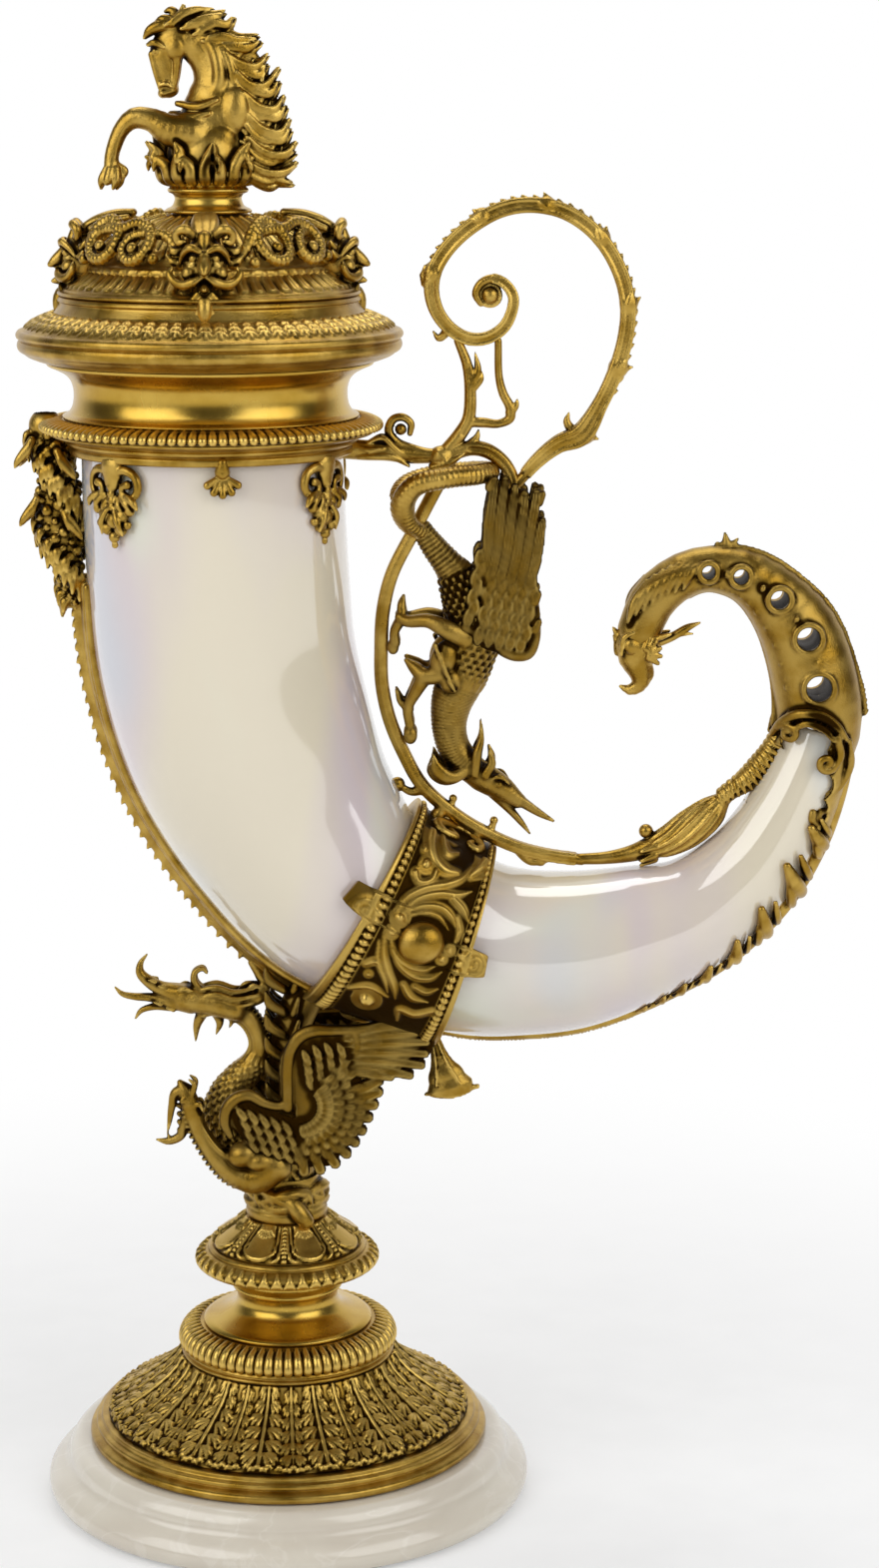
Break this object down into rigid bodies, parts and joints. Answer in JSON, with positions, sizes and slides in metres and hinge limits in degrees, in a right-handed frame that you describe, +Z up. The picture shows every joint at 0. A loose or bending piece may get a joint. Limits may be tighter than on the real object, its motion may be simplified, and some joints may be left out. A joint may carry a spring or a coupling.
{
  "type": "covered cornucopia vase",
  "caption": "Hollow porcelain horn vase in gilt brass dragon mounts, with a handle, a lift-off lid with a horse finial and a turned foot on a marble plinth.",
  "frame": {"origin": "centre of the felt pad's underside, where the vase rests on a table", "axes": "+Z up, +X from the vase's mouth towards the tip of the horn, -Y is the front in the picture"},
  "size_m": [0.3332, 0.199, 0.5994],
  "materials": {
    "gilt_cast": "antiqued gilt casting, dark in its recesses",
    "gilt_polished": "polished gilt, soft gloss",
    "porcelain": "glossy mother-of-pearl lustre glaze",
    "marble": "polished cream marble",
    "felt": "wool felt",
    "steel": "plain",
    "cork": "raw cork, sealed with wax"
  },
  "bodies": {
    "vase": {"felt_pad": "felt", "marble_plinth": "marble", "foot_molding": "gilt_cast", "foot_dome": "gilt_cast", "gadroon_ring": "gilt_cast", "spool": "gilt_polished", "leaf_collar": "gilt_cast", "tongue_dome": "gilt_cast", "tail_knot": "gilt_cast", "base_washer": "steel", "base_nut": "steel", "tie_rod": "steel", "foot_dragon": "gilt_cast", "saddle_bracket": "gilt_cast", "foot_dragon_wing_front": "gilt_cast", "foot_dragon_wing_back": "gilt_cast", "young_dragon": "gilt_cast", "tail_fan": "gilt_cast", "horn_upper": "porcelain", "horn_lower": "porcelain", "joint_sleeve": "gilt_polished", "cork_plug": "cork", "cuff": "gilt_cast", "cartouche_front": "gilt_cast", "cartouche_back": "gilt_cast", "tip_curl": "gilt_cast", "tip_bird_head": "gilt_cast", "grape_cluster": "gilt_cast", "keel_strip": "gilt_cast", "outer_leaf": "gilt_cast", "inner_leaf": "gilt_cast", "handle_rod": "gilt_cast", "handle_loop": "gilt_cast", "handle_brace": "gilt_cast", "collar_scroll": "gilt_cast", "climbing_dragon": "gilt_cast", "climbing_dragon_tail": "gilt_cast", "climbing_dragon_wing_front": "gilt_cast", "climbing_dragon_wing_back": "gilt_cast", "collar_band": "gilt_polished", "bead_ring": "gilt_cast", "neck": "gilt_polished", "pendant_front_left": "gilt_cast", "pendant_front_right": "gilt_cast", "pendant_back_left": "gilt_cast", "pendant_back_right": "gilt_cast"},
    "lid": {"lid_flange": "gilt_cast", "locating_ring": "gilt_polished", "lid_dome": "gilt_cast", "snake_garland": "gilt_cast", "mask_front": "gilt_cast", "mask_right": "gilt_cast", "mask_back": "gilt_cast", "mask_left": "gilt_cast", "pedestal": "gilt_polished", "finial_nut": "steel", "finial_stud": "steel", "horse_finial": "gilt_cast"}
  },
  "joints": [
    {"name": "lid_lift", "type": "slide", "parent": "vase", "child": "lid", "axis": [0, 0, 1], "range_m": [0, 0.06]}
  ]
}
